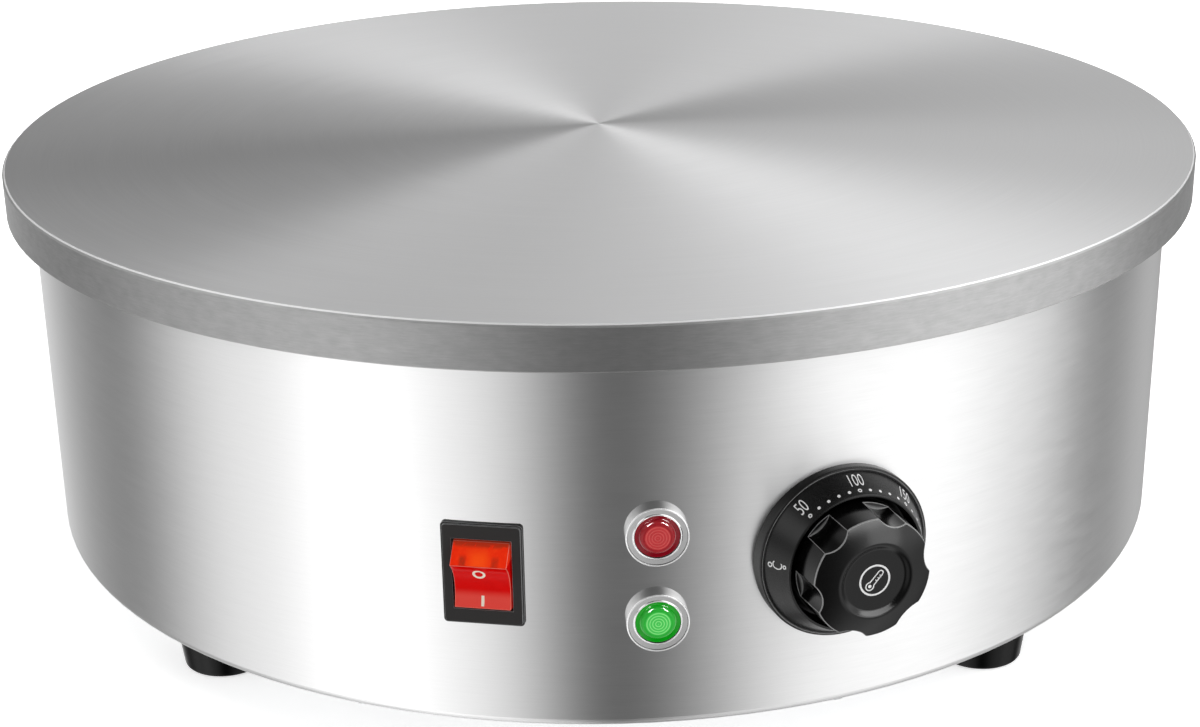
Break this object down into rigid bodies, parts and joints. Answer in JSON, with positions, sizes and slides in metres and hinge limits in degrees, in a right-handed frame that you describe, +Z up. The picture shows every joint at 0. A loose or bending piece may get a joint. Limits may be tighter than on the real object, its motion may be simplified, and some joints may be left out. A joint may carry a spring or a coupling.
{
  "type": "electric crepe maker",
  "caption": "Round electric crepe griddle: a flat turned plate on a brushed steel drum, with a rocker switch, pilot lamps and a thermostat dial on the front.",
  "frame": {"origin": "on the worktop, on the axis of the drum", "axes": "+Z up along the axis of the drum; the controls face -Y; +X to the right of someone facing them"},
  "size_m": [0.3999, 0.408, 0.1415],
  "materials": {
    "cast_plate": "turned, fine concentric tool marks",
    "brushed_drum": "brushed round the drum",
    "sheet_steel": "plain rolled sheet",
    "zinc_screws": "zinc plated",
    "element_sheath": "heat-darkened steel sheath",
    "white_ceramic": "unglazed ceramic",
    "ceramic_fibre": "pressed ceramic fibre",
    "phenolic": "moulded phenolic",
    "copper": "drawn copper",
    "black_plastic": "satin moulded nylon",
    "red_plastic": "clear red polycarbonate, lit from within",
    "brass_parts": "plain brass",
    "chrome_rings": "turned and polished",
    "red_lens": "clear red lens",
    "green_lens": "clear green lens, lit",
    "gland_plastic": "moulded polyamide",
    "black_rubber": "moulded rubber",
    "wire_insulation_red": "vinyl sleeve",
    "wire_insulation_brown": "heat-proof lead",
    "wire_insulation_blue": "heat-proof lead",
    "wire_insulation_green": "heat-proof lead"
  },
  "bodies": {
    "housing": {"griddle_plate": "cast_plate", "drum_shell": "brushed_drum", "support_ring": "sheet_steel", "base_plate": "sheet_steel", "base_screws": "zinc_screws", "foot_front_left": "black_rubber", "foot_front_right": "black_rubber", "foot_rear_right": "black_rubber", "foot_rear_left": "black_rubber", "foot_screws": "zinc_screws", "foot_nuts": "zinc_screws", "plate_studs": "zinc_screws", "plate_washers": "zinc_screws", "plate_nuts": "zinc_screws", "element_inner": "element_sheath", "element_middle": "element_sheath", "element_outer": "element_sheath", "element_beads": "white_ceramic", "element_pins": "zinc_screws", "clamp_bars": "sheet_steel", "clamp_studs": "zinc_screws", "clamp_nuts": "zinc_screws", "insulation_blanket": "ceramic_fibre", "heat_shield": "sheet_steel", "thermostat_body": "phenolic", "thermostat_screws": "zinc_screws", "capillary_tube": "copper", "sensing_bulb": "copper", "bulb_clip": "sheet_steel", "bulb_clip_screws": "zinc_screws", "dial_bezel": "black_plastic", "switch_housing": "black_plastic", "switch_tabs": "brass_parts", "red_lamp_ring": "chrome_rings", "red_lamp_lens": "red_lens", "red_lamp_body": "black_plastic", "red_lamp_nut": "zinc_screws", "green_lamp_ring": "chrome_rings", "green_lamp_lens": "green_lens", "green_lamp_body": "black_plastic", "green_lamp_nut": "zinc_screws", "gland_body": "gland_plastic", "gland_seal": "black_rubber", "gland_cap": "gland_plastic", "gland_locknut": "gland_plastic", "terminal_block": "white_ceramic", "terminal_screws": "brass_parts", "block_screws": "zinc_screws", "earth_stud": "zinc_screws", "earth_nuts": "brass_parts", "wire_sleeves": "wire_insulation_red", "wires_live": "wire_insulation_brown", "wires_neutral": "wire_insulation_blue", "wire_earth": "wire_insulation_green"},
    "knob": {"control_knob": "black_plastic", "thermostat_shaft": "zinc_screws"},
    "rocker": {"rocker": "red_plastic"}
  },
  "joints": [
    {"name": "thermostat_turn", "type": "hinge", "parent": "housing", "child": "knob", "pos_m": [0.06866, -0.17887, 0.0656], "axis": [-0.3584, 0.9336, 0], "range_deg": [0, 260]},
    {"name": "switch_rock", "type": "hinge", "parent": "housing", "child": "rocker", "pos_m": [-0.03054, -0.18449, 0.0645], "axis": [-0.9866, 0.1633, 0], "range_deg": [0, 30]}
  ]
}
